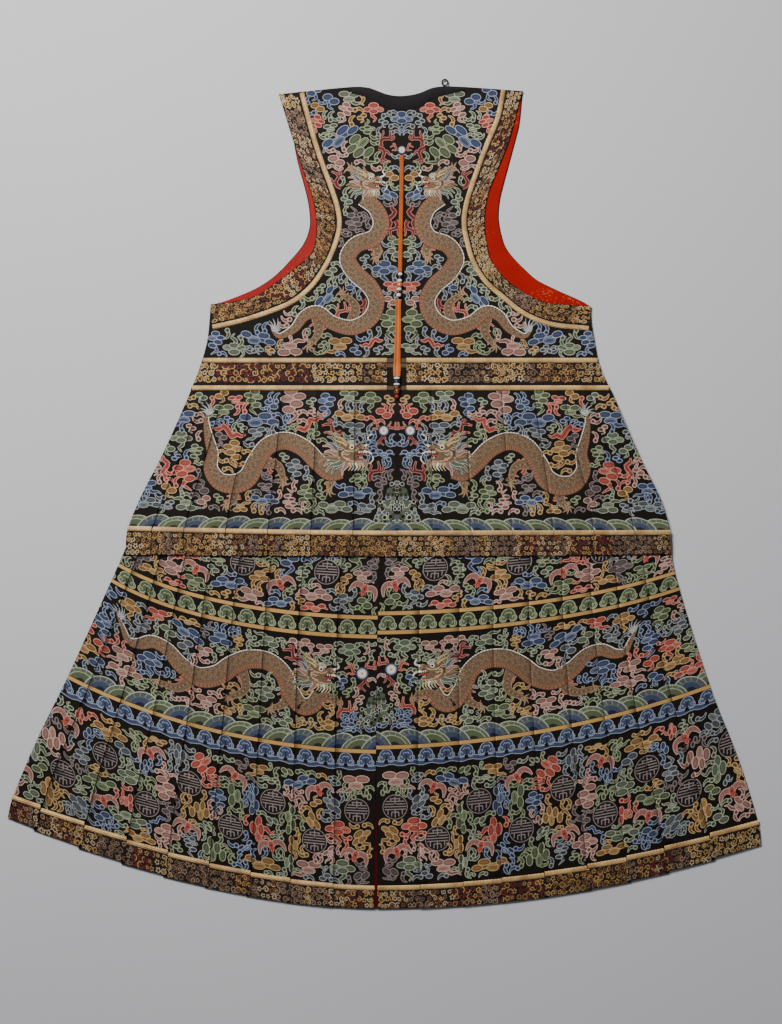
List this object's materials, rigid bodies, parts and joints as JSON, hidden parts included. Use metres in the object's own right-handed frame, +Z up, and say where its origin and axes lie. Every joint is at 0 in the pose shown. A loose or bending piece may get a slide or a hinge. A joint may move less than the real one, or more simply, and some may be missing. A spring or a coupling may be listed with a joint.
{
  "type": "court surcoat",
  "caption": "Sleeveless court surcoat laid flat, back upwards: shaped bodice, short pleated tier over a long pleated skirt, banded armholes, waist and hems, cord down the back.",
  "frame": {"origin": "centre of the surcoat's flat outline, on the surface it lies on", "axes": "+Z up from the surface, +Y from the hem towards the neck, +X to the right as seen from above with the neck away from the viewer"},
  "size_m": [1.258, 1.3854, 0.0164],
  "materials": {
    "navy_silk": "fine silk tapestry weave, soft sheen",
    "black_satin": "plain satin",
    "brocade": "gold-patterned brocade",
    "gold_piping": "gold-thread piping",
    "red_lining": "figured silk lining",
    "orange_cord": "braided silk",
    "gilt_brass": "gilt, domed",
    "white_bead": "glossy",
    "dark_bead": "glossy",
    "coral_bead": "polished",
    "blue_bead": "glossy",
    "gold_cap": "wound gold and orange thread",
    "red_tip": "bound silk"
  },
  "bodies": {
    "root": {"front_bodice_left": "navy_silk", "front_lining_left": "red_lining", "back_bodice_left": "navy_silk", "armhole_band_left": "brocade", "armhole_piping_left": "gold_piping", "front_waist_band_left": "brocade", "back_waist_band_left": "brocade", "waist_piping_upper_left": "gold_piping", "waist_piping_lower_left": "gold_piping", "front_tier_left": "navy_silk", "front_skirt_left": "navy_silk", "back_skirt_left": "navy_silk", "skirt_hem_band_left": "brocade", "skirt_hem_piping_left": "gold_piping", "back_tier_left": "navy_silk", "tier_hem_band_left": "brocade", "tier_hem_piping_left": "gold_piping", "vent_edge_left": "red_lining", "front_bodice_right": "navy_silk", "front_lining_right": "red_lining", "back_bodice_right": "navy_silk", "armhole_band_right": "brocade", "armhole_piping_right": "gold_piping", "front_waist_band_right": "brocade", "back_waist_band_right": "brocade", "waist_piping_upper_right": "gold_piping", "waist_piping_lower_right": "gold_piping", "front_tier_right": "navy_silk", "front_skirt_right": "navy_silk", "back_skirt_right": "navy_silk", "skirt_hem_band_right": "brocade", "skirt_hem_piping_right": "gold_piping", "back_tier_right": "navy_silk", "tier_hem_band_right": "brocade", "tier_hem_piping_right": "gold_piping", "vent_edge_right": "red_lining", "waist_centre_strip": "black_satin", "back_neck_band": "black_satin", "neck_loop": "black_satin", "front_button_1": "gilt_brass", "front_button_2": "gilt_brass", "front_button_3": "gilt_brass", "front_button_4": "gilt_brass", "pendant_cord": "orange_cord", "pendant_tape": "orange_cord", "pendant_bead_01": "white_bead", "pendant_bead_02": "dark_bead", "pendant_bead_03": "white_bead", "pendant_bead_04": "coral_bead", "pendant_bead_05": "white_bead", "pendant_bead_06": "dark_bead", "pendant_bead_07": "white_bead", "pendant_bead_08": "white_bead", "pendant_bead_09": "blue_bead", "pendant_bead_10": "white_bead", "pendant_end": "gold_cap", "pendant_tip": "red_tip"}
  },
  "joints": []
}
